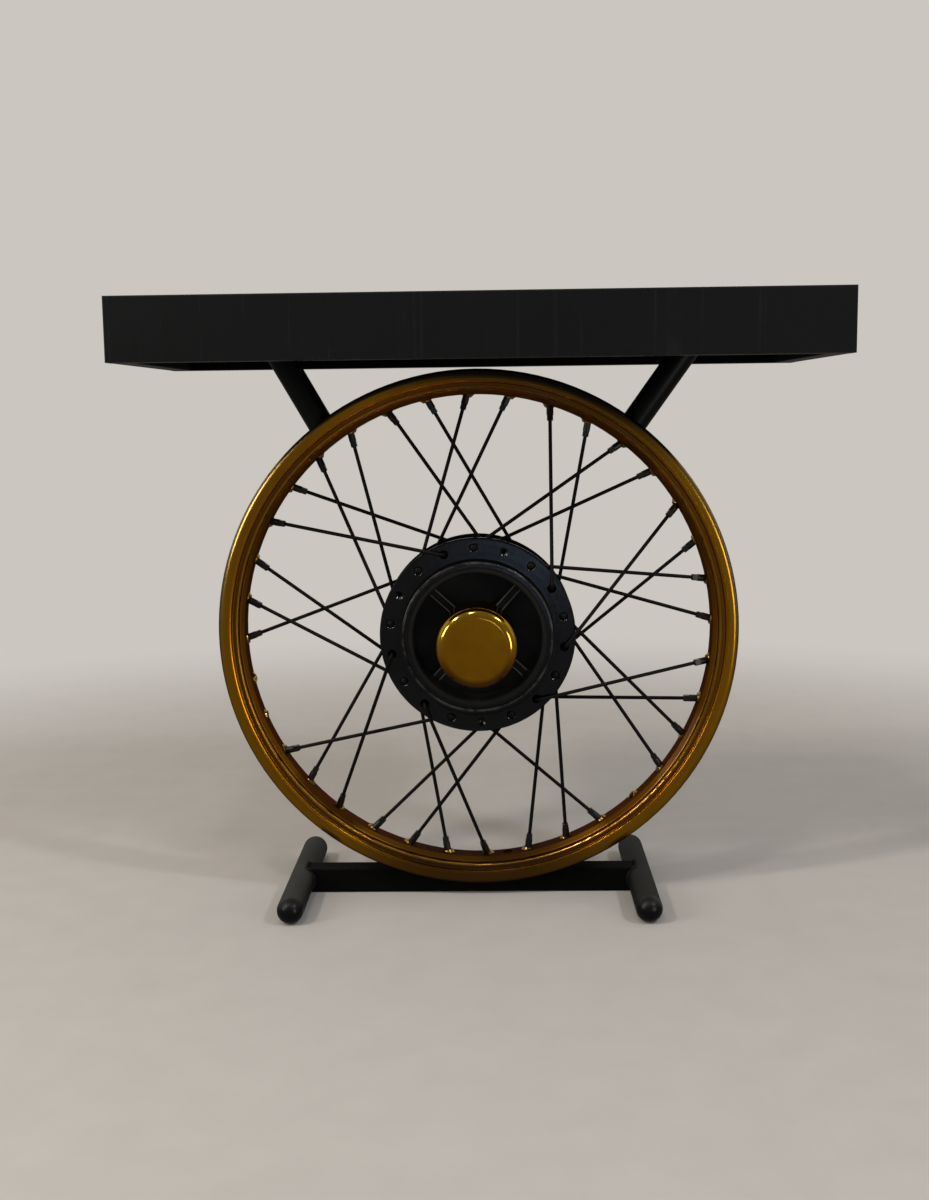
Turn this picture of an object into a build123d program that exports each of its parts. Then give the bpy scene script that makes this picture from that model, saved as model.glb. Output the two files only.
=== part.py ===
from build123d import *
import math
import os

# Side table whose stand is a laced motorcycle wheel. Millimetres, Z up, the wheel's axle along Y and the
# table's front facing -Y. X = Y = 0 is the middle of the table top and Z = 0 is the floor.

# ---- table top ----
TABLE_LENGTH = 590.0
TABLE_DEPTH = 250.0
RIM_TO_APRON_GAP = 5.2
APRON_HEIGHT = 52.0
APRON_THICKNESS = 20.0
BOARD_THICKNESS = 18.0
EDGE_ROUNDING = 1.2

# ---- where the wheel and the base sit under the top ----
WHEEL_SHIFT = -4.5
BASE_SHIFT = -13.7

# ---- rim, a 17 inch alloy section ----
RIM_RADIUS = 229.0
RIM_WIDTH = 41.0
FLANGE_WALL = 3.0
BEAD_SEAT_DEPTH = 10.7
FLANGE_FACE_DEPTH = 11.8
GROOVE_DEPTH = 1.7
RIDGE_DEPTH = 4.4
BED_DEPTH = 21.7
BED_WALL = 3.0
BED_WIDTH = 16.0
SHOULDER_WIDTH = 23.0
LEDGE_DEPTH = 1.0
WELL_WIDTH = 11.0
WELL_MOUTH_WIDTH = 16.0
FLANGE_ROUNDING = 2.2
FLANGE_INNER_ROUNDING = 0.7
FACE_ROUNDING = 0.9
GROOVE_ROUNDING = 0.6
RIDGE_ROUNDING = 1.5
BED_ROUNDING = 2.0
VALVE_HOLE = 8.4
SPOKE_HOLES = 36
FIRST_HOLE_ANGLE = 91.9
EMPTY_HOLES = (11, 12, 23)
BROKEN_HOLES = (3,)
VALVE_HOLE_PLACE = 19.5

# ---- spokes and nipples ----
SPOKE_WIRE = 3.2
CROSSING_ANGLE = 40.0
ELBOW_RADIUS = 3.4
INNER_ELBOW_STANDOFF = 0.3
FRONT_ELBOW_STANDOFF = 2.55
BACK_ELBOW_STANDOFF = 1.2
HEAD_RADIUS = 3.0
HEAD_DOME = 1.3
HEAD_CONE = 1.2
HEAD_LIFT = 0.1
NIPPLE_SHANK = 6.2
NIPPLE_FLATS = 5.2
NIPPLE_FLAT_LENGTH = 5.0
NIPPLE_REACH = 12.2
NIPPLE_HEAD = 8.2
NIPPLE_HEAD_HEIGHT = 2.2
NIPPLE_GRIP = 10.0
NIPPLE_TIP = 5.4
BROKEN_BEND_AT = 3.0
BROKEN_BEND_RADIUS = 15.0
BROKEN_END_ANGLE = 79.0
BROKEN_END_DEPTH = -16.0
DIMPLE_RISE = 1.4
DIMPLE_TOP = 9.2
DIMPLE_FOOT = 13.0
FIT = 0.05

# ---- hub ----
HUB_FLANGE_RADIUS = 85.0
HUB_FLANGE_WALL = 4.5
HUB_FLANGE_BEVEL = 1.0
FRONT_FLANGE_FACE = -38.5
BACK_FLANGE_FACE = 7.0
HOLE_CIRCLE_RADIUS = 76.0
FLANGE_HOLE_CLEARANCE = 0.2
COUNTERSINK = 7.8
COUNTERSINK_DEPTH = 1.6
BARREL_RADIUS = 66.8
LIP_GROOVE_WIDTH = 3.5
LIP_GROOVE_DEPTH = 1.7
LIP_REACH = 11.5
LIP_TAPER = 1.4
LIP_ROUNDING = 1.2
LIP_INNER_ROUNDING = 0.6
LABYRINTH_DEPTH = 3.0
LABYRINTH_WIDTH = 3.5
LIP_WALL = 3.8
LINER_WALL = 4.5
LINER_RECESS = 1.0
LINER_BEVEL = 1.3
LINER_LENGTH = 30.5
DRUM_RADIUS = 55.0
SEAT_LEDGE = 2.5
FLOOR_BEHIND_LINER = 6.5
WEB_WALL = 5.0
BACK_LIP_REACH = 3.0
BACK_LIP_WALL = 5.0
RIB_COUNT = 4
RIB_WIDTH = 7.6
RIB_BACK_HEIGHT = 6.5
RIB_FIRST_ANGLE = 48.0
RIB_ROUNDING = 1.0
BOSS_RADIUS = 25.0
BOSS_FRONT_HEIGHT = 23.0
BOSS_BACK_HEIGHT = 9.0

# ---- bearings, axle and gold cap ----
BEARING_OUTER_RADIUS = 18.5
BEARING_BORE_RADIUS = 6.0
BEARING_WIDTH = 12.0
BEARING_RECESS = 2.0
INNER_RING_WALL = 3.2
RUNNING_CLEARANCE = 0.05
SPACER_WALL = 3.0
BOSS_BORE_CLEARANCE = 4.0
CAP_RADIUS = 33.5
CAP_FRONT = -110.5
CAP_BACK = -61.5
CAP_WALL = 2.0
CAP_ROUNDING = 8.0
CARRIER_THICKNESS = 10.0
CARRIER_INSET = 2.0
NUT_ACROSS_FLATS = 19.0
NUT_HEIGHT = 10.0
NUT_SIDES = 6
COLLAR_LENGTH = 6.0
AXLE_OVERHANG = 4.0
AXLE_CHAMFER = 1.3

# ---- steel base and struts ----
TUBE_DIAMETER = 23.0
TUBE_WALL = 2.0
FOOT_LENGTH = 196.0
FOOT_SPACING = 307.0
PLUG_LENGTH = 12.0
BAR_HEIGHT = 22.0
BAR_DEPTH = 20.0
BAR_ROUNDING = 1.5
STRUT_RIM_ANGLES = (126.6, 52.6)
STRUT_LEANS = (29.7, -35.6)
PLATE_LENGTH = 84.0
PLATE_WIDTH = 60.0
PLATE_THICKNESS = 4.0
SCREW_DIAMETER = 4.0
SCREW_LENGTH = 16.0
SCREW_HEAD = 8.0
SCREW_HEAD_HEIGHT = 2.0
SCREW_INSET = 9.0

# ---- sizes that follow from those above ----
BEAD_SEAT_RADIUS = RIM_RADIUS - BEAD_SEAT_DEPTH
BED_RADIUS = RIM_RADIUS - BED_DEPTH
WELL_RADIUS = BED_RADIUS + BED_WALL
BAR_TOP = (TUBE_DIAMETER + BAR_HEIGHT) / 2
AXLE_HEIGHT = BAR_TOP + BEAD_SEAT_RADIUS
TABLE_HEIGHT = AXLE_HEIGHT + RIM_RADIUS + RIM_TO_APRON_GAP + APRON_HEIGHT
BOARD_BOTTOM = TABLE_HEIGHT - BOARD_THICKNESS
HOLE_PITCH = 360.0 / SPOKE_HOLES
SPOKE_RADIUS = SPOKE_WIRE / 2
LIP_FACE = FRONT_FLANGE_FACE - LIP_REACH
LINER_RADIUS = DRUM_RADIUS + LINER_WALL
LINER_FRONT = LIP_FACE + LINER_RECESS
LINER_BACK = LINER_FRONT + LINER_LENGTH
WEB_FRONT = LINER_BACK + FLOOR_BEHIND_LINER
WEB_BACK = WEB_FRONT + WEB_WALL
BOSS_FRONT = WEB_FRONT - BOSS_FRONT_HEIGHT
BOSS_BACK = BACK_FLANGE_FACE + BOSS_BACK_HEIGHT
FRONT_SHOULDER = BOSS_FRONT + BEARING_RECESS + BEARING_WIDTH
BACK_SHOULDER = BOSS_BACK - BEARING_RECESS - BEARING_WIDTH
AXLE_RADIUS = BEARING_BORE_RADIUS
INNER_RING_RADIUS = BEARING_BORE_RADIUS + INNER_RING_WALL
CARRIER_BACK = CAP_BACK - CARRIER_INSET
CARRIER_FRONT = CARRIER_BACK - CARRIER_THICKNESS


def at_wheel(shape):
    """Moves a piece drawn round the origin to the wheel's centre."""
    return Pos(WHEEL_SHIFT, 0, AXLE_HEIGHT) * shape


def turned(shape, angle):
    """Turns a piece about the wheel's axle, anticlockwise as seen from the front."""
    return Rot(0, -angle, 0) * shape


def on_circle(radius, angle, y):
    """A point at a radius and angle round the axle, at depth y."""
    turn = math.radians(angle)
    return Vector(radius * math.cos(turn), y, radius * math.sin(turn))


def lathe(points):
    """Turns an outline of (radius, y) points about the axle. A third number rounds its corner."""
    corners = [point[:2] for point in points]
    rounding = [point[2] if len(point) > 2 else 0 for point in points]
    return revolve(make_face(FilletPolyline(*corners, radius=rounding, close=True)), Axis.Y)


def rod(start, end, radius):
    """A round bar between two points."""
    way = end - start
    return extrude(Plane(start, z_dir=way) * Circle(radius), way.length)


def ring(inner, outer, front, back):
    """A plain ring round the axle."""
    return lathe([(inner, front), (outer, front), (outer, back), (inner, back)])


def save(name, shape):
    """Writes one named piece."""
    pieces = shape if isinstance(shape, list) else [shape]
    solids = [solid for piece in pieces for solid in piece.solids()]
    export_step(Compound(children=solids) if len(solids) > 1 else solids[0], f"parts/{name}.step")


# ---- table top: a board let into four aprons ----
def block(length, depth, height, x, y, bottom):
    """A box centred on x and y that stands on the height given."""
    return Pos(x, y, bottom) * Box(length, depth, height, align=(Align.CENTER, Align.CENTER, Align.MIN))


def long_apron(side):
    """Front (-1) or back (+1) apron, over the whole length of the table."""
    outer = side * TABLE_DEPTH / 2
    apron = block(
        TABLE_LENGTH,
        APRON_THICKNESS,
        APRON_HEIGHT,
        0,
        outer - side * APRON_THICKNESS / 2,
        TABLE_HEIGHT - APRON_HEIGHT,
    )
    ends = apron.edges().filter_by(Axis.Z).group_by(Axis.Y)[0 if side < 0 else -1]
    rails = apron.edges().filter_by(Axis.X).group_by(Axis.Y)[0 if side < 0 else -1]
    return fillet(ends + rails, EDGE_ROUNDING)


def end_apron(side):
    """Left (-1) or right (+1) apron, between the long ones."""
    middle = side * (TABLE_LENGTH - APRON_THICKNESS) / 2
    depth = TABLE_DEPTH - APRON_THICKNESS * 2
    apron = block(APRON_THICKNESS, depth, APRON_HEIGHT, middle, 0, TABLE_HEIGHT - APRON_HEIGHT)
    outer = apron.edges().filter_by(Axis.Y).group_by(Axis.X)[0 if side < 0 else -1]
    return fillet(outer, EDGE_ROUNDING)


def screw_places():
    """The four screw positions on a mounting plate, from its middle."""
    along = PLATE_LENGTH / 2 - SCREW_INSET
    across = PLATE_WIDTH / 2 - SCREW_INSET
    return [(x, y) for x in (-along, along) for y in (-across, across)]


def top_board():
    """The board, with pilot holes for the plate screws in its underside."""
    length = TABLE_LENGTH - APRON_THICKNESS * 2
    depth = TABLE_DEPTH - APRON_THICKNESS * 2
    board = block(length, depth, BOARD_THICKNESS, 0, 0, BOARD_BOTTOM)
    for side in (0, 1):
        for x, y in screw_places():
            place = Pos(plate_middle(side) + x, y, BOARD_BOTTOM)
            pilot = extrude(Circle(SCREW_DIAMETER / 2), SCREW_LENGTH - PLATE_THICKNESS + FIT)
            board -= place * pilot
    return board


# ---- struts from the rim's channel up to the board ----
def strut_line(side):
    """The strut's point on the rim's edge and its upward direction."""
    foot = on_circle(RIM_RADIUS, STRUT_RIM_ANGLES[side], 0) + Vector(WHEEL_SHIFT, 0, AXLE_HEIGHT)
    lean = math.radians(STRUT_LEANS[side])
    return foot, Vector(-math.sin(lean), 0, math.cos(lean))


def plate_middle(side):
    """Where the strut's axis meets its mounting plate."""
    foot, up = strut_line(side)
    rise = BOARD_BOTTOM - PLATE_THICKNESS - foot.Z
    return foot.X + up.X / up.Z * rise


def strut(side):
    """Tube whose foot is coped to the bead seats and whose top is cut level under its plate."""
    foot, up = strut_line(side)
    level = BOARD_BOTTOM - PLATE_THICKNESS
    start = foot - up * TUBE_DIAMETER * 2
    end = foot + up * ((level - foot.Z) / up.Z + TUBE_DIAMETER)
    tube = rod(start, end, TUBE_DIAMETER / 2) - rod(start, end, TUBE_DIAMETER / 2 - TUBE_WALL)
    above = block(TABLE_LENGTH, TABLE_DEPTH, TABLE_HEIGHT, 0, 0, level)
    wheel = at_wheel(Rot(90, 0, 0) * Cylinder(BEAD_SEAT_RADIUS, RIM_WIDTH))
    cut = tube - above - wheel
    return cut.solids().sort_by(SortBy.VOLUME)[-1]


def strut_plate(side):
    """Steel plate on the strut's top, screwed under the board."""
    middle = plate_middle(side)
    plate = block(PLATE_LENGTH, PLATE_WIDTH, PLATE_THICKNESS, middle, 0, BOARD_BOTTOM - PLATE_THICKNESS)
    for x, y in screw_places():
        bore = Cylinder(SCREW_DIAMETER / 2 + FIT, PLATE_THICKNESS * 2)
        plate -= Pos(middle + x, y, BOARD_BOTTOM - PLATE_THICKNESS) * bore
    return plate


def strut_screws(side):
    """Four round-headed wood screws up through a plate into the board."""
    head = extrude(Circle(SCREW_HEAD / 2), -SCREW_HEAD_HEIGHT)
    shank = extrude(Circle(SCREW_DIAMETER / 2 - FIT), SCREW_LENGTH)
    screw = fillet((head + shank).edges().group_by(Axis.Z)[0], SCREW_HEAD_HEIGHT / 2)
    level = BOARD_BOTTOM - PLATE_THICKNESS
    return [Pos(plate_middle(side) + x, y, level) * screw for x, y in screw_places()]


# ---- rim ----
def rim_outline():
    """Half of the rim's section, from the middle of the well outwards, as points for the lathe."""
    edge = RIM_WIDTH / 2
    inside = edge - FLANGE_WALL
    ridge = edge - GROOVE_DEPTH
    face_end = RIM_RADIUS - FLANGE_FACE_DEPTH
    ledge = face_end - RIDGE_DEPTH - LEDGE_DEPTH
    return [
        (WELL_RADIUS, WELL_WIDTH / 2, 0),
        (BEAD_SEAT_RADIUS, WELL_MOUTH_WIDTH / 2, 0),
        (BEAD_SEAT_RADIUS, inside, FACE_ROUNDING),
        (RIM_RADIUS, inside, FLANGE_INNER_ROUNDING),
        (RIM_RADIUS, edge, FLANGE_ROUNDING),
        (face_end, edge, FACE_ROUNDING),
        (face_end, ridge, GROOVE_ROUNDING),
        (ledge, ridge, RIDGE_ROUNDING),
        (ledge, SHOULDER_WIDTH / 2, GROOVE_ROUNDING),
        (BED_RADIUS, BED_WIDTH / 2, BED_ROUNDING),
    ]


def rim_hoop():
    """The rolled section, turned about the axle."""
    right = rim_outline()
    left = [(radius, -y, rounding) for radius, y, rounding in reversed(right)]
    return lathe(right + left)


def spoke_corner(kind):
    """Where a spoke's two straight parts would meet at the hub, for a spoke laced to hole 1."""
    hub_angle, depth = LACING[kind]["hub"], LACING[kind]["corner"]
    return on_circle(HOLE_CIRCLE_RADIUS, hub_angle, depth)


def nipple_seat():
    """The middle of the nipple's seat in the rim, at hole angle 0."""
    return on_circle(WELL_RADIUS - NIPPLE_HEAD_HEIGHT / 2, 0, 0)


def along_spoke(kind, distance):
    """A point on the spoke's line, measured from the nipple's seat towards the hub."""
    way = (spoke_corner(kind) - nipple_seat()).normalized()
    return nipple_seat() + way * distance


def dimple(kind):
    """Punched boss round a spoke hole, square to its spoke."""
    top = along_spoke(kind, DIMPLE_TOP_AT)
    foot = along_spoke(kind, 0)
    way = (top - foot).normalized()
    cone = Solid.make_cone(
        DIMPLE_FOOT / 2, DIMPLE_TOP / 2, DIMPLE_TOP_AT, Plane(foot, z_dir=way)
    )
    return cone & (Rot(90, 0, 0) * Cylinder(WELL_RADIUS - FIT, RIM_WIDTH))


def spoke_hole(kind):
    """Bore for the nipple's shank with a flat seat for its head."""
    bore = rod(
        along_spoke(kind, -NIPPLE_REACH), along_spoke(kind, NIPPLE_REACH), NIPPLE_SHANK / 2 + FIT
    )
    seat = rod(along_spoke(kind, 0), along_spoke(kind, -NIPPLE_HEAD), NIPPLE_HEAD / 2 + FIT)
    return bore + seat


def hole_angle(number):
    """Angle of a rim hole, counted from 1 at the top, anticlockwise from the front."""
    return FIRST_HOLE_ANGLE + HOLE_PITCH * (number - 1)


def kind_of(number):
    """Which of the four lacing kinds uses a rim hole."""
    return KINDS[(number - 1) % len(KINDS)]


def rim():
    """Hoop with its dimples, spoke holes and valve hole."""
    hoop = rim_hoop()
    numbers = range(1, SPOKE_HOLES + 1)
    hoop = hoop + [turned(dimple(kind_of(number)), hole_angle(number)) for number in numbers]
    holes = [turned(spoke_hole(kind_of(number)), hole_angle(number)) for number in numbers]
    valve = rod(on_circle(BED_RADIUS - BED_WALL, 0, 0), on_circle(RIM_RADIUS, 0, 0), VALVE_HOLE / 2)
    holes.append(turned(valve, hole_angle(VALVE_HOLE_PLACE)))
    return hoop - holes


# ---- spokes ----
FRONT_FLANGE_BACK = FRONT_FLANGE_FACE + HUB_FLANGE_WALL
BACK_FLANGE_FRONT = BACK_FLANGE_FACE - HUB_FLANGE_WALL
INNER_ELBOW = ELBOW_RADIUS + INNER_ELBOW_STANDOFF
FRONT_OUTER_ELBOW = ELBOW_RADIUS + FRONT_ELBOW_STANDOFF
BACK_OUTER_ELBOW = ELBOW_RADIUS + BACK_ELBOW_STANDOFF
DIMPLE_TOP_AT = BED_WALL - NIPPLE_HEAD_HEIGHT / 2 + DIMPLE_RISE

# Each kind: angle of its hub hole from its rim hole, depth of its elbow, face its head bears on, and
# the way the head points.
LACING = {
    "front_inner": {
        "hub": CROSSING_ANGLE,
        "corner": FRONT_FLANGE_BACK + INNER_ELBOW,
        "face": FRONT_FLANGE_FACE,
        "head": -1,
        "coned": True,
    },
    "back_outer": {
        "hub": -CROSSING_ANGLE,
        "corner": BACK_FLANGE_FACE + BACK_OUTER_ELBOW,
        "face": BACK_FLANGE_FRONT,
        "head": -1,
        "coned": False,
    },
    "front_outer": {
        "hub": -CROSSING_ANGLE,
        "corner": FRONT_FLANGE_FACE - FRONT_OUTER_ELBOW,
        "face": FRONT_FLANGE_BACK,
        "head": 1,
        "coned": False,
    },
    "back_inner": {
        "hub": CROSSING_ANGLE,
        "corner": BACK_FLANGE_FRONT - INNER_ELBOW,
        "face": BACK_FLANGE_FACE,
        "head": 1,
        "coned": True,
    },
}
KINDS = list(LACING)


def spoke(kind):
    """One spoke for a rim hole at angle 0: domed head, elbow and straight wire into the nipple."""
    lacing = LACING[kind]
    hub_point = on_circle(HOLE_CIRCLE_RADIUS, lacing["hub"], 0)
    face = Vector(hub_point.X, lacing["face"], hub_point.Z)
    corner = spoke_corner(kind)
    end = along_spoke(kind, NIPPLE_REACH + DIMPLE_TOP_AT - NIPPLE_GRIP)
    root = face + Vector(0, lacing["head"] * HEAD_LIFT, 0)
    wire = FilletPolyline(root, corner, end, radius=ELBOW_RADIUS)
    start = Plane(root, z_dir=corner - root)
    body = sweep(start * Circle(SPOKE_RADIUS), path=wire)
    return body + spoke_head(kind, face)


def broken_spoke(number):
    """A spoke that has lost its elbow. Bent past its nipple, it rests between the flanges on the barrel."""
    kind, angle = kind_of(number), hole_angle(number)
    start = along_spoke(kind, NIPPLE_REACH + DIMPLE_TOP_AT - NIPPLE_GRIP)
    bend = along_spoke(kind, NIPPLE_REACH + DIMPLE_TOP_AT + BROKEN_BEND_AT)
    rest = on_circle(BARREL_RADIUS + SPOKE_RADIUS, BROKEN_END_ANGLE - angle, BROKEN_END_DEPTH)
    wire = FilletPolyline(start, bend, rest, radius=BROKEN_BEND_RADIUS)
    body = sweep(Plane(start, z_dir=bend - start) * Circle(SPOKE_RADIUS), path=wire)
    return at_wheel(turned(body, angle))


def spoke_head(kind, face):
    """Domed head: coned into its countersink on an outer face, flat under on an inner one."""
    outward = LACING[kind]["head"]
    foot = HEAD_LIFT - COUNTERSINK_DEPTH
    under = [(0, outward * foot), (SPOKE_RADIUS, outward * foot)]
    shoulder = foot + HEAD_CONE
    if not LACING[kind]["coned"]:
        shoulder = FIT
        under = [(0, outward * shoulder)]
    ball = (HEAD_RADIUS**2 + HEAD_DOME**2) / (2 * HEAD_DOME)
    half_way = math.asin(HEAD_RADIUS / ball) / 2
    edge = (HEAD_RADIUS, outward * shoulder)
    bulge = (ball * math.sin(half_way), outward * (shoulder + HEAD_DOME - ball * (1 - math.cos(half_way))))
    top = (0, outward * (shoulder + HEAD_DOME))
    sides = [Polyline(*under, edge), ThreePointArc(edge, bulge, top), Line(top, under[0])]
    return Pos(face.X, face.Y, face.Z) * revolve(make_face(sides), Axis.Y)


def nipple(kind):
    """Nipple for a rim hole at angle 0: head, round shank, squared end with its corners turned off."""
    foot = along_spoke(kind, 0)
    tip = along_spoke(kind, DIMPLE_TOP_AT + NIPPLE_REACH)
    flats = along_spoke(kind, DIMPLE_TOP_AT + NIPPLE_REACH - NIPPLE_FLAT_LENGTH)
    head_top = along_spoke(kind, -NIPPLE_HEAD_HEIGHT)
    way = tip - flats
    square = extrude(
        Plane(flats, z_dir=way) * Rectangle(NIPPLE_FLATS, NIPPLE_FLATS), NIPPLE_FLAT_LENGTH
    )
    tip_radius = NIPPLE_TIP / 2
    blunt = Solid.make_cone(
        tip_radius + NIPPLE_FLAT_LENGTH, tip_radius, NIPPLE_FLAT_LENGTH, Plane(flats, z_dir=way)
    )
    square = square & blunt
    shape = rod(foot, flats, NIPPLE_SHANK / 2) + square + rod(head_top, foot, NIPPLE_HEAD / 2)
    return shape - rod(head_top, tip + way, SPOKE_RADIUS + FIT)


def laced(maker, kind, without):
    """All copies of one lacing kind's piece round the wheel, without those of some holes."""
    template = maker(kind)
    first = KINDS.index(kind) + 1
    numbers = range(first, SPOKE_HOLES + 1, len(KINDS))
    fitted = [number for number in numbers if number not in without]
    return [at_wheel(turned(template, hole_angle(number))) for number in fitted]


# ---- hub ----
def hub_outline():
    """The hub's section from the front bearing pocket round the outside to the back one."""
    groove_back = FRONT_FLANGE_FACE + LIP_GROOVE_DEPTH
    groove_outer = BARREL_RADIUS + LIP_GROOVE_WIDTH
    labyrinth = LINER_RADIUS + LABYRINTH_WIDTH
    lip_outer = labyrinth + LIP_WALL - LIP_TAPER
    bore = BEARING_BORE_RADIUS + SPACER_WALL + BOSS_BORE_CLEARANCE
    back_lip = BACK_FLANGE_FACE + BACK_LIP_REACH
    return [
        (BEARING_OUTER_RADIUS, BOSS_FRONT),
        (BOSS_RADIUS, BOSS_FRONT),
        (BOSS_RADIUS, WEB_FRONT),
        (LINER_RADIUS - SEAT_LEDGE, WEB_FRONT),
        (LINER_RADIUS - SEAT_LEDGE, LINER_BACK),
        (LINER_RADIUS, LINER_BACK),
        (LINER_RADIUS, LIP_FACE + LABYRINTH_DEPTH),
        (labyrinth, LIP_FACE + LABYRINTH_DEPTH),
        (labyrinth, LIP_FACE, LIP_INNER_ROUNDING),
        (lip_outer, LIP_FACE, LIP_ROUNDING),
        (BARREL_RADIUS, groove_back),
        (groove_outer, groove_back),
        (groove_outer, FRONT_FLANGE_FACE),
        (HUB_FLANGE_RADIUS - HUB_FLANGE_BEVEL, FRONT_FLANGE_FACE),
        (HUB_FLANGE_RADIUS, FRONT_FLANGE_FACE + HUB_FLANGE_BEVEL),
        (HUB_FLANGE_RADIUS, FRONT_FLANGE_BACK - HUB_FLANGE_BEVEL),
        (HUB_FLANGE_RADIUS - HUB_FLANGE_BEVEL, FRONT_FLANGE_BACK),
        (BARREL_RADIUS, FRONT_FLANGE_BACK),
        (BARREL_RADIUS, BACK_FLANGE_FRONT),
        (HUB_FLANGE_RADIUS - HUB_FLANGE_BEVEL, BACK_FLANGE_FRONT),
        (HUB_FLANGE_RADIUS, BACK_FLANGE_FRONT + HUB_FLANGE_BEVEL),
        (HUB_FLANGE_RADIUS, BACK_FLANGE_FACE - HUB_FLANGE_BEVEL),
        (HUB_FLANGE_RADIUS - HUB_FLANGE_BEVEL, BACK_FLANGE_FACE),
        (BARREL_RADIUS, BACK_FLANGE_FACE),
        (BARREL_RADIUS - BACK_LIP_REACH / 2, back_lip),
        (BARREL_RADIUS - BACK_LIP_WALL - BACK_LIP_REACH / 2, back_lip),
        (LINER_RADIUS, BACK_FLANGE_FACE),
        (LINER_RADIUS, WEB_BACK),
        (BOSS_RADIUS, WEB_BACK),
        (BOSS_RADIUS, BOSS_BACK),
        (BEARING_OUTER_RADIUS, BOSS_BACK),
        (BEARING_OUTER_RADIUS, BACK_SHOULDER),
        (bore, BACK_SHOULDER),
        (bore, FRONT_SHOULDER),
        (BEARING_OUTER_RADIUS, FRONT_SHOULDER),
    ]


def flange_hole(front):
    """One spoke hole through a flange, countersunk on its outer face, at angle 0."""
    face = FRONT_FLANGE_FACE if front else BACK_FLANGE_FACE
    inward = 1 if front else -1
    hole_radius = SPOKE_RADIUS + FLANGE_HOLE_CLEARANCE
    outline = [
        (0, -inward * FIT),
        (COUNTERSINK / 2, -inward * FIT),
        (COUNTERSINK / 2, 0),
        (hole_radius, inward * COUNTERSINK_DEPTH),
        (hole_radius, inward * HUB_FLANGE_WALL * 2),
        (0, inward * HUB_FLANGE_WALL * 2),
    ]
    return Pos(HOLE_CIRCLE_RADIUS, face, 0) * lathe(outline)


def rib(angle):
    """One web rib from the boss to the drum wall, on the front and back of the web."""
    outer = LINER_RADIUS - SEAT_LEDGE + FIT
    inner = BOSS_RADIUS - FIT
    front = LINER_BACK + FIT
    back = WEB_BACK + RIB_BACK_HEIGHT
    bar = Box(outer - inner, back - front, RIB_WIDTH)
    bar = fillet(bar.edges().filter_by(Axis.X), RIB_ROUNDING)
    return turned(Pos((inner + outer) / 2, (front + back) / 2, 0) * bar, angle)


def hub():
    """Cast hub shell: two drilled flanges, drum with its lip, ribbed web and bearing boss."""
    shell = lathe(hub_outline())
    ribs = [rib(RIB_FIRST_ANGLE + 360 / RIB_COUNT * index) for index in range(RIB_COUNT)]
    shell = shell + ribs
    holes = []
    for kind in KINDS:
        template = flange_hole(kind.startswith("front"))
        first = KINDS.index(kind) + 1
        for number in range(first, SPOKE_HOLES + 1, len(KINDS)):
            holes.append(turned(template, hole_angle(number) + LACING[kind]["hub"]))
    return at_wheel(shell - holes)


def liner():
    """Iron brake liner in the drum's mouth."""
    outline = [
        (DRUM_RADIUS + LINER_BEVEL, LINER_FRONT),
        (LINER_RADIUS - FIT, LINER_FRONT),
        (LINER_RADIUS - FIT, LINER_BACK),
        (DRUM_RADIUS, LINER_BACK),
        (DRUM_RADIUS, LINER_FRONT + LINER_BEVEL),
    ]
    return at_wheel(lathe(outline))


# ---- bearings, axle and cap ----
def bearing_outer(front):
    """Outer ring of a sealed ball bearing, with its seals."""
    inner = INNER_RING_RADIUS + RUNNING_CLEARANCE
    return at_wheel(ring(inner, BEARING_OUTER_RADIUS - FIT / 2, front, front + BEARING_WIDTH))


def bearing_inner(front):
    """Inner ring of a sealed ball bearing."""
    return at_wheel(ring(BEARING_BORE_RADIUS, INNER_RING_RADIUS, front, front + BEARING_WIDTH))


def spacer_tube():
    """Tube that keeps the two inner rings apart."""
    outer = BEARING_BORE_RADIUS + SPACER_WALL
    return at_wheel(ring(BEARING_BORE_RADIUS + FIT, outer, FRONT_SHOULDER, BACK_SHOULDER))


def cap_carrier():
    """Turned spigot that stands the cap off the front bearing."""
    outline = [
        (AXLE_RADIUS + FIT, CARRIER_FRONT),
        (CAP_RADIUS - CAP_WALL - FIT, CARRIER_FRONT),
        (CAP_RADIUS - CAP_WALL - FIT, CARRIER_BACK),
        (INNER_RING_RADIUS - FIT, CARRIER_BACK),
        (INNER_RING_RADIUS - FIT, FRONT_SHOULDER - BEARING_WIDTH),
        (AXLE_RADIUS + FIT, FRONT_SHOULDER - BEARING_WIDTH),
    ]
    return at_wheel(lathe(outline))


def gold_cap():
    """Deep cup with a rounded front edge."""
    outer = make_face(
        Polyline(
            (0, CAP_FRONT), (CAP_RADIUS, CAP_FRONT), (CAP_RADIUS, CAP_BACK), (0, CAP_BACK), close=True
        )
    )
    outer = fillet(outer.vertices().group_by(Axis.Y)[0].sort_by(Axis.X)[-1], CAP_ROUNDING)
    inner = make_face(
        Polyline(
            (0, CAP_FRONT + CAP_WALL),
            (CAP_RADIUS - CAP_WALL, CAP_FRONT + CAP_WALL),
            (CAP_RADIUS - CAP_WALL, CAP_BACK),
            (0, CAP_BACK),
            close=True,
        )
    )
    inner = fillet(inner.vertices().group_by(Axis.Y)[0].sort_by(Axis.X)[-1], CAP_ROUNDING - CAP_WALL)
    return at_wheel(revolve(outer - inner, Axis.Y))


def axle_nut(front):
    """Plain hexagon nut on the axle."""
    across = NUT_ACROSS_FLATS / 2
    plane = Plane((0, front, 0), x_dir=(1, 0, 0), z_dir=(0, 1, 0))
    hexagon = RegularPolygon(across, NUT_SIDES, major_radius=False) - Circle(AXLE_RADIUS + FIT)
    return at_wheel(extrude(plane * hexagon, NUT_HEIGHT))


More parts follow.
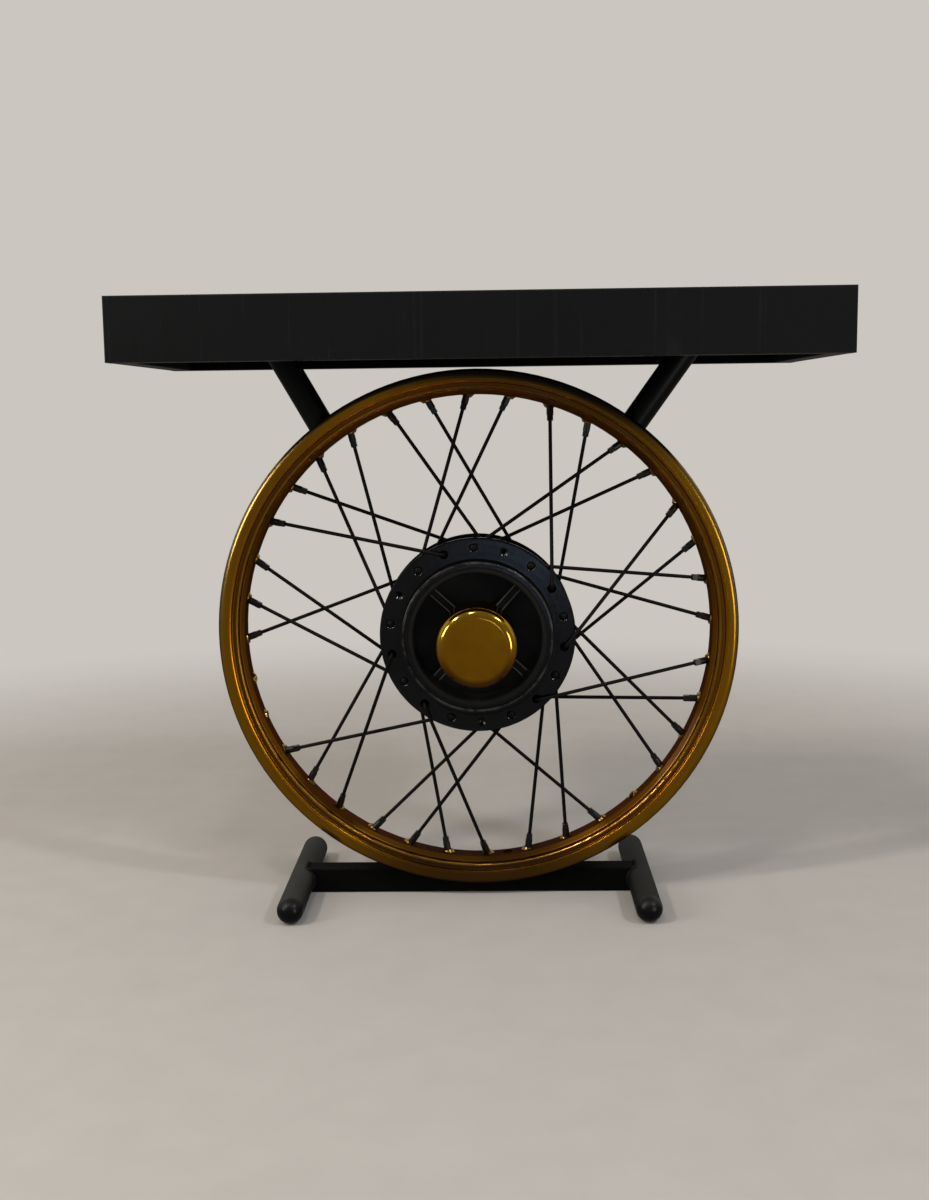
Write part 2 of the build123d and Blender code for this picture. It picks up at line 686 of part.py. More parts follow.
def back_collar():
    """Short collar between the back bearing's inner ring and the nut."""
    start = BACK_SHOULDER + BEARING_WIDTH
    return at_wheel(ring(AXLE_RADIUS + FIT, INNER_RING_RADIUS - FIT, start, start + COLLAR_LENGTH))


def axle():
    """Round axle through both bearings, from nut to nut."""
    front = CARRIER_FRONT - NUT_HEIGHT - AXLE_OVERHANG
    back = BACK_SHOULDER + BEARING_WIDTH + COLLAR_LENGTH + NUT_HEIGHT + AXLE_OVERHANG
    shaft = rod(Vector(0, front, 0), Vector(0, back, 0), AXLE_RADIUS)
    return at_wheel(chamfer(shaft.edges(), AXLE_CHAMFER))


# ---- steel base ----
def foot_centre(side):
    """X of a foot tube's axis."""
    return BASE_SHIFT + side * FOOT_SPACING / 2


def foot_tube(side):
    """Foot tube, front to back under one end of the bar."""
    reach = FOOT_LENGTH / 2 - TUBE_DIAMETER / 2
    height = TUBE_DIAMETER / 2
    start = Vector(foot_centre(side), -reach, height)
    end = Vector(foot_centre(side), reach, height)
    return rod(start, end, height) - rod(start, end, height - TUBE_WALL)


def foot_cap(side, end):
    """Domed plug in one end of a foot tube."""
    radius = TUBE_DIAMETER / 2
    reach = FOOT_LENGTH / 2 - radius
    dome = Sphere(radius) & block(TUBE_DIAMETER, radius, TUBE_DIAMETER, 0, end * radius / 2, -radius)
    plug = rod(Vector(0, 0, 0), Vector(0, -end * PLUG_LENGTH, 0), radius - TUBE_WALL - FIT)
    return Pos(foot_centre(side), end * reach, radius) * (dome + plug)


def base_bar():
    """Box-section bar through the rim's channel, coped at both ends to the foot tubes."""
    bottom = BAR_TOP - BAR_HEIGHT
    bar = block(FOOT_SPACING, BAR_DEPTH, BAR_HEIGHT, BASE_SHIFT, 0, bottom)
    bar = fillet(bar.edges().filter_by(Axis.X), BAR_ROUNDING)
    inside_height = BAR_HEIGHT - TUBE_WALL * 2
    bar -= block(FOOT_SPACING, BAR_DEPTH - TUBE_WALL * 2, inside_height, BASE_SHIFT, 0, bottom + TUBE_WALL)
    for side in (-1, 1):
        saddle = Rot(90, 0, 0) * Cylinder(TUBE_DIAMETER / 2, TABLE_DEPTH)
        bar -= Pos(foot_centre(side), 0, TUBE_DIAMETER / 2) * saddle
    return bar.solids().sort_by(SortBy.VOLUME)[-1]


# ---- write every piece ----
os.makedirs("parts", exist_ok=True)

save("top_board", top_board())
save("apron_front", long_apron(-1))
save("apron_back", long_apron(1))
save("apron_left", end_apron(-1))
save("apron_right", end_apron(1))
for index, name in enumerate(("left", "right")):
    save(f"strut_{name}", strut(index))
    save(f"strut_plate_{name}", strut_plate(index))
    save(f"strut_screws_{name}", strut_screws(index))

save("rim", at_wheel(rim()))
for kind in KINDS:
    spokes = laced(spoke, kind, EMPTY_HOLES + BROKEN_HOLES)
    spokes += [broken_spoke(number) for number in BROKEN_HOLES if kind_of(number) == kind]
    save(f"spokes_{kind}", spokes)
    save(f"nipples_{kind}", laced(nipple, kind, EMPTY_HOLES))

save("hub_shell", hub())
save("brake_liner", liner())
save("bearing_front_outer_ring", bearing_outer(FRONT_SHOULDER - BEARING_WIDTH))
save("bearing_front_inner_ring", bearing_inner(FRONT_SHOULDER - BEARING_WIDTH))
save("bearing_back_outer_ring", bearing_outer(BACK_SHOULDER))
save("bearing_back_inner_ring", bearing_inner(BACK_SHOULDER))
save("bearing_spacer", spacer_tube())
save("axle", axle())
save("cap_carrier", cap_carrier())
save("gold_cap", gold_cap())
save("axle_nut_front", axle_nut(CARRIER_FRONT - NUT_HEIGHT))
save("axle_collar_back", back_collar())
save("axle_nut_back", axle_nut(BACK_SHOULDER + BEARING_WIDTH + COLLAR_LENGTH))

save("base_bar", base_bar())
for side, name in ((-1, "left"), (1, "right")):
    save(f"foot_tube_{name}", foot_tube(side))
    save(f"foot_cap_{name}_front", foot_cap(side, -1))
    save(f"foot_cap_{name}_back", foot_cap(side, 1))
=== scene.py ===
# %% [markdown]
# # A side table on a motorcycle wheel
# A black box-shaped top stands on two tube struts over a gold spoked wheel, and the wheel stands on a
# welded bar with two foot tubes. The frame file already holds every rigid part at its real size. This
# lesson dresses those parts: it lights them, gives each one the finish of the real thing, and adds the
# small forms that a drawing office leaves out, such as weld beads, threads and screw slots.

# %% load the frame
import math

import bpy
from mathutils import Matrix, Vector


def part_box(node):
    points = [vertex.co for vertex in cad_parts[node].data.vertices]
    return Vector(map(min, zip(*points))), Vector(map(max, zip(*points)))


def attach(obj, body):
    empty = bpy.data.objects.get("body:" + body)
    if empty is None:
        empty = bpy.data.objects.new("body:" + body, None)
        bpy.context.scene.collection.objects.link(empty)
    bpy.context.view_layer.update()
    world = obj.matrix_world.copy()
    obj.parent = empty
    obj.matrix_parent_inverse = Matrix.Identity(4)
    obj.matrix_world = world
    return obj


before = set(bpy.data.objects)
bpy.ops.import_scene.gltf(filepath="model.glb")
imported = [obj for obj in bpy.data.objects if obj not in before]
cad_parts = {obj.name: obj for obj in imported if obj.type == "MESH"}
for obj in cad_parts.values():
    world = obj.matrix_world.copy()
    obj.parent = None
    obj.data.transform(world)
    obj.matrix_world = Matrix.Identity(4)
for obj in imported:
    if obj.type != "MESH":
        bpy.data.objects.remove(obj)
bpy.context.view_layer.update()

MM = 0.001
RIM_LOW, RIM_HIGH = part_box("rim")
AXLE = (RIM_LOW + RIM_HIGH) / 2
RIM_RADIUS = RIM_HIGH.x - AXLE.x
print("nodes:", len(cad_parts), "axle centre:", [round(v, 4) for v in AXLE])

# %% [markdown]
# ## The camera
# The table is seen from the front, a little above the wheel's centre, by a camera that tips down by
# 7.7 degrees. Its place is measured from the wheel's centre, because the round rim is what fixes the
# view best. The turn, tip and roll are small angles, so the camera's three axes are worked out from
# them one after the other.

# %% camera
PICTURE_HEIGHT = 1200
FOCAL_PIXELS = 1410.9
SENSOR = 36.0
CAMERA_FROM_AXLE = Vector((16.85, -1246.1, 193.9)) * MM
TIP_DOWN, TURN, ROLL = 0.134, -0.023, -0.013

ahead = math.cos(TIP_DOWN)
forward = Vector((math.sin(TURN) * ahead, math.cos(TURN) * ahead, -math.sin(TIP_DOWN)))
level = Vector((math.cos(TURN), -math.sin(TURN), 0))
upright = level.cross(forward)
right = level * math.cos(ROLL) + upright * math.sin(ROLL)
up = upright * math.cos(ROLL) - level * math.sin(ROLL)

camera = bpy.data.objects.new("camera", bpy.data.cameras.new("camera"))
bpy.context.collection.objects.link(camera)
camera.data.sensor_width = SENSOR
camera.data.lens = FOCAL_PIXELS / PICTURE_HEIGHT * SENSOR
camera.data.clip_start = 0.05
turned = Matrix((right, up, -forward)).transposed().to_4x4()
camera.matrix_world = Matrix.Translation(AXLE + CAMERA_FROM_AXLE) @ turned
bpy.context.scene.camera = camera
print("lens:", round(camera.data.lens, 2), "mm")

# %% [markdown]
# ## Wiring nodes with plain sums
# Materials and Geometry Nodes are both graphs of small steps. Written out one link at a time they are
# hard to read, so two small classes do the wiring. A Signal stands for an output socket, and sums and
# products of signals add the Math nodes for us. A Wiring adds any other node in one call: its kind, its
# settings, and what goes into its sockets.

# %% signals and wiring
class Signal:
    """An output socket that can be used in sums, products and comparisons."""

    def __init__(self, wiring, socket):
        self.wiring = wiring
        self.socket = socket

    def maths(self, operation, *values):
        sockets = dict(enumerate(values))
        return self.wiring.node("ShaderNodeMath", {"operation": operation}, sockets)

    def __add__(self, other):
        return self.maths("ADD", self, other)

    def __sub__(self, other):
        return self.maths("SUBTRACT", self, other)

    def __rsub__(self, other):
        return self.maths("SUBTRACT", other, self)

    def __mul__(self, other):
        return self.maths("MULTIPLY", self, other)

    def __truediv__(self, other):
        return self.maths("DIVIDE", self, other)

    def __rtruediv__(self, other):
        return self.maths("DIVIDE", other, self)

    def __pow__(self, other):
        return self.maths("POWER", self, other)

    __radd__ = __add__
    __rmul__ = __mul__

    def size(self):
        return self.maths("ABSOLUTE", self)

    def least(self, other):
        return self.maths("MINIMUM", self, other)

    def most(self, other):
        return self.maths("MAXIMUM", self, other)

    def fraction(self):
        return self.maths("FRACT", self)

    def step(self, start, end):
        """0 before start, 1 after end, and a smooth rise between them."""
        settings = {"interpolation_type": "SMOOTHSTEP"}
        sockets = {"Value": self, "From Min": start, "From Max": end}
        return self.wiring.node("ShaderNodeMapRange", settings, sockets)


class Wiring:
    """A node tree being built."""

    def __init__(self, tree):
        self.tree = tree

    def node(self, kind, settings=None, sockets=None, out=0):
        made = self.tree.nodes.new(kind)
        for name, value in (settings or {}).items():
            setattr(made, name, value)
        for key, value in (sockets or {}).items():
            self.feed(self.find(made.inputs, key), value)
        return Signal(self, self.find(made.outputs, out))

    def find(self, sockets, key):
        """A socket by its number, its identifier or its name."""
        if isinstance(key, int):
            return sockets[key]
        return next((s for s in sockets if s.identifier == key), None) or sockets[key]

    def feed(self, socket, value):
        if isinstance(value, Signal):
            self.tree.links.new(value.socket, socket)
        else:
            socket.default_value = value


print("wiring ready")

# %% [markdown]
# ## Finishes
# A Finish is the wiring of one material. It starts with a Principled shader, reads the piece's own
# coordinates from the wheel's centre, and has the three things that every finish here is made of: a
# cloud of noise, a mix of two colours, and a height that becomes a bump. Colours are written as the
# 0 to 255 values that a paint chart gives.

# %% finish class
def chart(red, green, blue):
    """A paint chart colour as the linear values that shaders use."""
    def linear(value):
        share = value / 255
        return share / 12.92 if share <= 0.04045 else ((share + 0.055) / 1.055) ** 2.4

    return (linear(red), linear(green), linear(blue), 1.0)


class Finish(Wiring):
    """The wiring of one material, with places measured from the wheel's centre."""

    def __init__(self, name, **constants):
        self.material = bpy.data.materials.new(name)
        self.material.use_nodes = True
        super().__init__(self.material.node_tree)
        self.shader = self.tree.nodes["Principled BSDF"]
        for socket, value in constants.items():
            self.shader.inputs[socket.replace("_", " ").title().replace("Ior", "IOR")].default_value = value
        place = self.node("ShaderNodeTexCoord", out="Object")
        shift = {"Vector": place, "Location": -AXLE}
        self.place = self.node("ShaderNodeMapping", sockets=shift)
        self.x, self.y, self.z = (self.part(self.place, index) for index in range(3))

    def part(self, vector, index):
        return self.node("ShaderNodeSeparateXYZ", sockets={0: vector}, out=index)

    def vector(self, x, y, z):
        return self.node("ShaderNodeCombineXYZ", sockets={0: x, 1: y, 2: z})

    def cloud(self, size, detail=3.0, vector=None):
        """Noise from 0 to 1 whose lumps are about the given size, in metres."""
        sockets = {"Vector": vector or self.place, "Scale": 1 / size, "Detail": detail}
        return self.node("ShaderNodeTexNoise", {"noise_dimensions": "3D"}, sockets, out="Fac")

    def radius(self):
        """Distance from the axle's line."""
        return (self.x * self.x + self.z * self.z) ** 0.5

    def facing_up(self):
        """The upward share of the surface's normal: 1 on a level top, 0 on a wall."""
        return self.part(self.node("ShaderNodeNewGeometry", out="Normal"), 2)

    def along_the_hoop(self, size, length):
        """Noise that is fine across the rim's section and drawn out along its length."""
        reach = self.radius()
        turn = self.vector(reach / size, self.y / size, self.x / (reach * length))
        settings = {"noise_dimensions": "4D"}
        sockets = {"Vector": turn, "W": self.z / (reach * length), "Scale": 1.0, "Detail": 2.0}
        return self.node("ShaderNodeTexNoise", settings, sockets, out="Fac")

    def mix(self, share, low, high):
        sockets = {"Factor_Float": share, "A_Color": low, "B_Color": high}
        return self.node("ShaderNodeMix", {"data_type": "RGBA"}, sockets, out="Result_Color")

    def leaning(self, reach, lean):
        """The surface's normal, leaned away from the axle by a slope."""
        straight = self.node("ShaderNodeNewGeometry", out="Normal")
        aside = self.vector(self.x / reach * lean, 0.0, self.z / reach * lean)
        leaned = self.node("ShaderNodeVectorMath", {"operation": "ADD"}, {0: straight, 1: aside})
        return self.node("ShaderNodeVectorMath", {"operation": "NORMALIZE"}, {0: leaned})

    def bump(self, height, depth, **others):
        """Raises the surface by a height, from 0 to 1, times a depth in metres."""
        sockets = {"Height": height, "Distance": depth, "Strength": 1.0} | others
        self.paint("Normal", self.node("ShaderNodeBump", sockets=sockets))

    def paint(self, socket, value):
        self.feed(self.shader.inputs[socket], value)

    def done(self):
        return self.material


def wear(finish, *nodes):
    """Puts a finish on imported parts."""
    for name in nodes:
        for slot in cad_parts[name].material_slots:
            slot.material = finish
    print(finish.name, "on", len(nodes), "parts")


print("a chart grey of 128 is", round(chart(128, 128, 128)[0], 3), "as a shader value")

# %% [markdown]
# ## The black top
# The top is wood under brushed satin black. The brush leaves fine strokes up and down the aprons, the
# joints of the wood show as faint upright lines, and the paint is rubbed thin along the sharp edges. The
# distance to the nearest edge of a box is the middle one of the distances to its three pairs of faces,
# so the rub needs no marks made by hand. Inside the box, under the board, the paint is flat, and painted
# shade makes it nearly black. The aprons' lower edges are a little shinier where hands lift the table.

# %% painted wood
TOP_LOW, TOP_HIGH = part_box("apron_front")[0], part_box("apron_back")[1]
JOINT_SPACING = 48 * MM
JOINT_WIDTH = 0.016
STROKE_WIDTH = 1.6 * MM
STROKE_LENGTH = 40 * MM
EDGE_RUB = 1.3 * MM
APRON_DEPTH = 17 * MM


def painted_wood():
    """Satin black over wood: strokes, faint joints, rubbed edges, and painted shade inside the box."""
    finish = Finish("satin_black_wood", specular_ior_level=0.15)
    middle, half = (TOP_LOW + TOP_HIGH) / 2 - AXLE, (TOP_HIGH - TOP_LOW) / 2
    to_end = half.x - (finish.x - middle.x).size()
    to_face = half.y - (finish.y - middle.y).size()
    to_rim = half.z - (finish.z - middle.z).size()
    to_edge = to_end.least(to_face).most(to_end.most(to_face).least(to_rim))
    patches = finish.cloud(70 * MM)
    ragged = to_edge + (finish.cloud(3 * MM) - 0.5) * EDGE_RUB
    rubbed = 1 - ragged.step(0, EDGE_RUB)
    within = to_end.least(to_face).step(APRON_DEPTH, APRON_DEPTH + MM)
    painted_shade_inside = within * (1 - (finish.z - middle.z).step(half.z - MM, half.z - MM / 2))

    along = finish.vector(finish.x / JOINT_SPACING, 0.0, 0.0)
    cell = {"voronoi_dimensions": "3D", "feature": "DISTANCE_TO_EDGE"}
    from_joint = finish.node("ShaderNodeTexVoronoi", cell, {"Vector": along, "Scale": 1.0})
    seam = (1 - from_joint.step(0, JOINT_WIDTH)) * finish.cloud(30 * MM).step(0.35, 0.65)

    upright = finish.vector(finish.x / STROKE_WIDTH, finish.y / STROKE_WIDTH, finish.z / STROKE_LENGTH)
    strokes = finish.cloud(1.0, detail=2.0, vector=upright)
    specks = finish.cloud(1.5 * MM, detail=1.0).step(0.74, 0.8)

    underside = 1 - (finish.z - middle.z).step(MM / 2 - half.z, MM - half.z)
    colour = finish.mix(patches, chart(14, 15, 15), chart(18, 19, 20))
    colour = finish.mix(seam * 0.14, colour, chart(50, 51, 52))
    colour = finish.mix(specks * 0.2, colour, chart(56, 56, 55))
    colour = finish.mix(rubbed * 0.3, colour, chart(66, 65, 62))
    # Painted shade: inside the box, under the board, the paint is made nearly black.
    colour = finish.mix(painted_shade_inside, colour, chart(3, 3, 3))
    finish.paint("Base Color", colour)
    rough = 0.46 + strokes * 0.1 + patches * 0.1 + painted_shade_inside * 0.3
    finish.paint("Roughness", rough * (1 - underside * 0.3))
    finish.bump(strokes * 0.5 + seam * -0.8 + finish.cloud(9 * MM), 0.12 * MM)
    return finish.done()


wear(painted_wood(), "top_board", "apron_front", "apron_back", "apron_left", "apron_right")

# %% [markdown]
# ## Painted steel
# The struts, the bar and the foot tubes are steel, sprayed satin black. Spray paint dries with a fine
# orange-peel surface, and dust settles on whatever faces up. A surface's normal tells which way it
# faces, so the dust follows the upward share of the normal, broken up by noise. Dust painted on by hand
# would have to be painted again for every tube. Only the base is dusty, its left tube more than its
# right. The struts are steep and stand under the top, so they stay clean.

# %% sprayed steel
def sprayed(name, low, high, dust=(0, 0, 0), dusting=0.0, rough=0.4, shine=0.3):
    """Soft patches between two blacks, with dust of a given colour on what faces up."""
    finish = Finish(name, specular_ior_level=shine)
    peel = finish.cloud(1.4 * MM, detail=1.0)
    patches = finish.cloud(22 * MM)
    specks = finish.cloud(0.9 * MM, detail=2.0).step(0.6, 0.75)
    settled = finish.facing_up().step(0.05, 0.95) * (0.7 + finish.cloud(14 * MM) * 0.6) * dusting
    colour = finish.mix(patches, chart(*low), chart(*high))
    colour = finish.mix(settled.least(1.0), colour, chart(*dust))
    colour = finish.mix(specks * settled * 0.3, colour, chart(110, 105, 94))
    finish.paint("Base Color", colour)
    finish.paint("Roughness", rough + patches * 0.1 + settled * 0.3)
    finish.bump(peel + finish.cloud(12 * MM), 0.1 * MM)
    return finish.done()


STRUT_PAINT = sprayed("satin_black_struts", (4, 4, 3), (7, 7, 6), rough=0.34, shine=0.2)
BAR_PAINT = sprayed("satin_black_bar", (3, 3, 2), (6, 6, 5),
                    dust=(24, 22, 20), dusting=0.6, rough=0.8, shine=0.1)
LEFT_PAINT = sprayed("dusty_black_left_tube", (14, 15, 14), (26, 26, 24),
                     dust=(60, 60, 56), dusting=0.8, rough=0.5, shine=0.2)
RIGHT_PAINT = sprayed("dusty_black_right_tube", (10, 10, 9), (19, 19, 18),
                      dust=(40, 39, 36), dusting=0.75, rough=0.5, shine=0.2)
PLUG_PAINT = sprayed("black_end_plugs", (4, 4, 4), (7, 7, 7),
                     dust=(28, 27, 25), dusting=0.6, rough=0.24)
wear(STRUT_PAINT, "strut_left", "strut_right", "strut_plate_left", "strut_plate_right")
wear(BAR_PAINT, "base_bar")
wear(LEFT_PAINT, "foot_tube_left")
wear(RIGHT_PAINT, "foot_tube_right")
wear(PLUG_PAINT, "foot_cap_left_front", "foot_cap_left_back", "foot_cap_right_front", "foot_cap_right_back")

# %% [markdown]
# ## The gold rim
# Anodised aluminium keeps the metal's own shine and adds a coloured skin. The rolls that formed the hoop
# left streaks along its length, so the noise here is squeezed across the section and drawn out round the
# wheel. The groove and the bed are painted darker as shade. The skin is painted near black under the top
# and brown near the floor, a painted reflection of the dark things there. The band is painted more olive
# toward its outer edge as a painted sheen, and the punched bosses round the nipples and the ridge are
# painted pale as painted highlights. The outer edge is rubbed pale, partly as a painted highlight on its
# upper half, with one nick in it.
#
# A rolled edge catches the light as a thin line. Noise or a bump would break that line up, so the edges
# are a lean of the surface's normal, which is worked out from the distance to the axle alone. Every place
# on the rim is measured inwards from its outer edge.

# %% places on the rim
FILLET_START, BAND_INNER = RIM_RADIUS - 2.2 * MM, RIM_RADIUS - 11.8 * MM
RIDGE_OUTER, RIDGE_INNER = RIM_RADIUS - 15.6 * MM, RIM_RADIUS - 17.2 * MM
BOSS_TOP = RIM_RADIUS - 22.1 * MM
NICK_ANGLE, NICK_REACH = math.radians(142), RIM_RADIUS - 0.4 * MM
NICK_RADIUS = 1.5 * MM
SHADE_TURN = math.radians(14)
EDGE_LEAN, BAND_LEAN, RIDGE_LEAN = 0.6, 0.8, 0.4


def nicked(finish):
    """1 on the small nick in the outer edge."""
    off_x = finish.x - NICK_REACH * math.cos(NICK_ANGLE)
    off_z = finish.z - NICK_REACH * math.sin(NICK_ANGLE)
    return 1 - ((off_x * off_x + off_z * off_z) ** 0.5).step(NICK_RADIUS * 0.6, NICK_RADIUS)


def rolled_edges(finish, reach):
    """The normal, leaned out at the rim's edge and in at the inner edges of the band and the ridge."""
    soft = 0.3 * MM
    at_edge = reach.step(FILLET_START - 3.5 * MM, FILLET_START + MM)
    on_band = (1 - reach.step(BAND_INNER, BAND_INNER + 4 * MM)) * reach.step(BAND_INNER - soft, BAND_INNER)
    on_ridge = (1 - reach.step(RIDGE_INNER, RIDGE_OUTER)) * reach.step(RIDGE_INNER - soft, RIDGE_INNER)
    return finish.leaning(reach, at_edge * EDGE_LEAN - on_band * BAND_LEAN - on_ridge * RIDGE_LEAN)


print("rim radius:", round(RIM_RADIUS / MM, 1), "mm")

# %% gold rim
GOLD_OLIVE, GOLD_ORANGE, GOLD_PALE = chart(210, 150, 2), chart(200, 128, 2), chart(226, 176, 70)
GOLD_DEEP, GOLD_BROWN, GOLD_BLACK = chart(160, 104, 3), chart(86, 50, 4), chart(34, 13, 2)
BED_BROWN, BOSS_PALE, WORN_PALE_HIGHLIGHT = chart(66, 44, 14), chart(200, 166, 90), chart(150, 138, 96)


def gold_rim():
    """Gold skin on aluminium, browned in places, with pale bosses and a rubbed outer edge."""
    tint = chart(140, 106, 34)
    finish = Finish("gold_anodised_rim", metallic=1.0, specular_tint=tint, coat_roughness=0.12)
    reach = finish.radius()
    streaks = finish.along_the_hoop(1.1 * MM, 0.35)
    broad = finish.along_the_hoop(5 * MM, 0.8)
    dirt = finish.cloud(26 * MM).step(0.45, 0.8)
    rise = finish.z / reach
    turned_rise = rise * math.cos(SHADE_TURN) + finish.x / reach * math.sin(SHADE_TURN)
    outer = reach.step(BAND_INNER, BAND_INNER + 7 * MM)
    ridge = 1 - (reach - RIDGE_INNER - 0.6 * MM).size().step(0.3 * MM, 0.9 * MM)
    groove = 1 - reach.step(BAND_INNER - MM, BAND_INNER - 0.3 * MM)
    groove = groove * reach.step(RIDGE_OUTER, RIDGE_OUTER + MM)
    bed = 1 - reach.step(RIDGE_INNER - MM, RIDGE_INNER)
    boss = 1 - reach.step(BOSS_TOP - 0.4 * MM, BOSS_TOP + 0.1 * MM)
    # Painted reflection and shade: the rim's top, under the table's top, is painted near black.
    painted_shade_under_top = turned_rise.step(0.74, 0.99)
    # Painted reflection and shade: the rim's bottom, near the floor, is painted brown.
    painted_shade_near_floor = (rise * -1).step(0.8, 1.0)
    nick = nicked(finish)
    # Wear and painted highlight: the outer edge is painted pale, mostly on its upper half.
    rubbed = reach.step(FILLET_START - 2.5 * MM, FILLET_START) * rise.step(-0.3, 0.2) * (1 - painted_shade_under_top)

    # Painted sheen: the band is painted more olive toward its outer edge and more orange inward.
    colour = finish.mix(outer, GOLD_ORANGE, GOLD_OLIVE)
    colour = finish.mix(streaks.step(0.3, 0.7) * 0.15, colour, GOLD_DEEP)
    colour = finish.mix(broad.step(0.3, 0.7) * 0.3, colour, GOLD_DEEP)
    colour = finish.mix(painted_shade_near_floor * 0.85, colour, GOLD_BROWN)
    colour = finish.mix(painted_shade_under_top * (0.5 + outer * 0.5), colour, GOLD_BLACK)
    # Painted shade: the groove and the bed are painted darker brown.
    colour = finish.mix(groove * 0.75, colour, GOLD_BROWN)
    colour = finish.mix(bed * 0.85, colour, BED_BROWN)
    # Painted highlight: the bosses are painted pale for their glints.
    colour = finish.mix(boss * 0.7, colour, BOSS_PALE)
    # Painted highlight: a pale line along the ridge, left out under the top.
    colour = finish.mix(ridge * (1 - painted_shade_under_top) * 0.5, colour, GOLD_PALE)
    colour = finish.mix(rubbed * 0.7, colour, WORN_PALE_HIGHLIGHT)
    colour = finish.mix(dirt * 0.2, colour, GOLD_BROWN)
    colour = finish.mix(nick, colour, GOLD_BLACK)
    finish.paint("Base Color", colour)
    finish.paint("Roughness", 0.2 + broad * 0.06 + dirt * 0.06 + (bed - boss) * 0.25 + groove * 0.1)
    finish.paint("Coat Weight", 0.4 * (1 - (bed - boss) * 0.9))
    height = streaks * 0.002 + finish.cloud(8 * MM) * 0.012 - nick * 0.4
    finish.bump(height, MM, Normal=rolled_edges(finish, reach))
    return finish.done()


wear(gold_rim(), "rim")

# %% [markdown]
# ## Hub, spokes and liner
# The cast hub is painted black. Its turned faces keep very fine rings, which a noise that only knows
# the distance from the axle gives. Painted highlights run round the drum's lip and along the two edges
# of each rib, and the drum's inside is painted darker as shade, and is duller than the flanges. A rib's
# edges are found by turning the coordinates until two ribs lie along x and two along z.

# %% painted highlights on the ribs
HUB_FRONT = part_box("hub_shell")[0].y
LINER_LOW, LINER_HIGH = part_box("brake_liner")
DRUM_WALL = (LINER_HIGH.x - LINER_LOW.x) / 2 + MM / 2
LIP_PLACE = HUB_FRONT + 0.7 * MM
RIB_PLACE = HUB_FRONT + 31.5 * MM
RIB_ANGLE = math.radians(48)
RIB_HALF = 3.3 * MM
RIB_START, RIB_END = 26 * MM, 57 * MM


def rib_edge_highlights(finish):
    """1 along the two front edges of each rib, where a painted highlight goes."""
    turned_x = finish.x * math.cos(RIB_ANGLE) + finish.z * math.sin(RIB_ANGLE)
    turned_z = finish.z * math.cos(RIB_ANGLE) - finish.x * math.sin(RIB_ANGLE)
    from_edge = (turned_x.size().least(turned_z.size()) - RIB_HALF).size()
    near_front = 1 - (finish.y - RIB_PLACE).size().step(0.4 * MM, 1.2 * MM)
    past_boss = finish.radius().step(RIB_START, RIB_START + 4 * MM)
    before_wall = 1 - finish.radius().step(RIB_END - 3 * MM, RIB_END)
    return (1 - from_edge.step(0.3 * MM, 0.9 * MM)) * near_front * past_boss * before_wall


print("drum wall:", round(DRUM_WALL / MM, 1), "mm from the axle")

# %% black wheel parts
def hub_paint(name, low, high, rough, ring_depth=0.0, shine=0.35, drum=False):
    """Paint or iron with fine turned rings. A drum adds a duller inside in painted shade, and painted
    highlights.
    """
    finish = Finish(name, specular_ior_level=shine)
    rings = finish.cloud(1.0, vector=finish.vector(finish.radius() / (0.4 * MM), 0.0, 0.0))
    patches = finish.cloud(18 * MM)
    grit = finish.cloud(1.2 * MM)
    colour = finish.mix(patches, chart(*low), chart(*high))
    dullness = 0.0
    if drum:
        painted_shade_and_dull_inside = 1 - finish.radius().step(DRUM_WALL, DRUM_WALL + MM)
        painted_shade_and_dull_inside = painted_shade_and_dull_inside * finish.y.step(LIP_PLACE, LIP_PLACE + 3 * MM)
        lip = 1 - finish.y.step(LIP_PLACE - 0.4 * MM, LIP_PLACE + 0.4 * MM)
        lip = lip * finish.cloud(9 * MM).step(0.3, 0.7)
        dullness = painted_shade_and_dull_inside * 0.35
        # Painted shade: the drum's inside is painted near black.
        colour = finish.mix(painted_shade_and_dull_inside, colour, chart(3, 3, 3))
        # Painted highlights: pale lines on the drum's lip and along the ribs' front edges.
        colour = finish.mix(lip * 0.45, colour, chart(84, 84, 80))
        colour = finish.mix(rib_edge_highlights(finish) * 0.9, colour, chart(120, 118, 108))
    colour = finish.mix(grit.step(0.64, 0.8) * 0.15, colour, chart(60, 57, 50))
    finish.paint("Base Color", colour)
    finish.paint("Roughness", rough + patches * 0.07 + dullness)
    finish.bump(rings * 2 + grit * 0.5, ring_depth)
    return finish.done()


HUB_PAINT = hub_paint("satin_black_hub", (3, 3, 3), (5, 5, 5),
                      rough=0.14, ring_depth=0.03 * MM, shine=0.45, drum=True)
LINER_IRON = hub_paint("dark_iron_liner", (14, 13, 12), (24, 23, 20), rough=0.34, ring_depth=0.08 * MM)
CARRIER_PAINT = hub_paint("black_carrier_paint", (8, 8, 8), (14, 14, 13), rough=0.4, ring_depth=0.05 * MM)
SPOKE_PAINT = hub_paint("satin_black_spokes", (11, 8, 6), (17, 13, 11), rough=0.5, shine=0.15)
NIPPLE_PAINT = hub_paint("worn_black_nipples", (7, 6, 6), (22, 20, 18), rough=0.28, shine=0.5)
wear(HUB_PAINT, "hub_shell")
wear(LINER_IRON, "brake_liner")
wear(CARRIER_PAINT, "cap_carrier")
wear(SPOKE_PAINT, "spokes_front_inner", "spokes_front_outer", "spokes_back_inner", "spokes_back_outer")
wear(NIPPLE_PAINT, "nipples_front_inner", "nipples_front_outer", "nipples_back_inner", "nipples_back_outer")

# %% [markdown]
# ## Bright metal
# The cap is turned and polished, then dyed gold. Its upper rounding is painted pale as a painted
# highlight, and its lower rounding is painted dark brown as painted shade. The axle, nuts, collar and
# bearing rings are zinc plated or ground steel. Each bearing is closed by a black rubber seal between its
# two rings, and the seal is told from the steel by its distance from the axle.

# %% cap, nuts and bearings
SEAL_INNER, SEAL_OUTER = 10.2 * MM, 15.8 * MM
SEAL_EDGE = 0.25 * MM
TURNING_LINE = 0.35 * MM


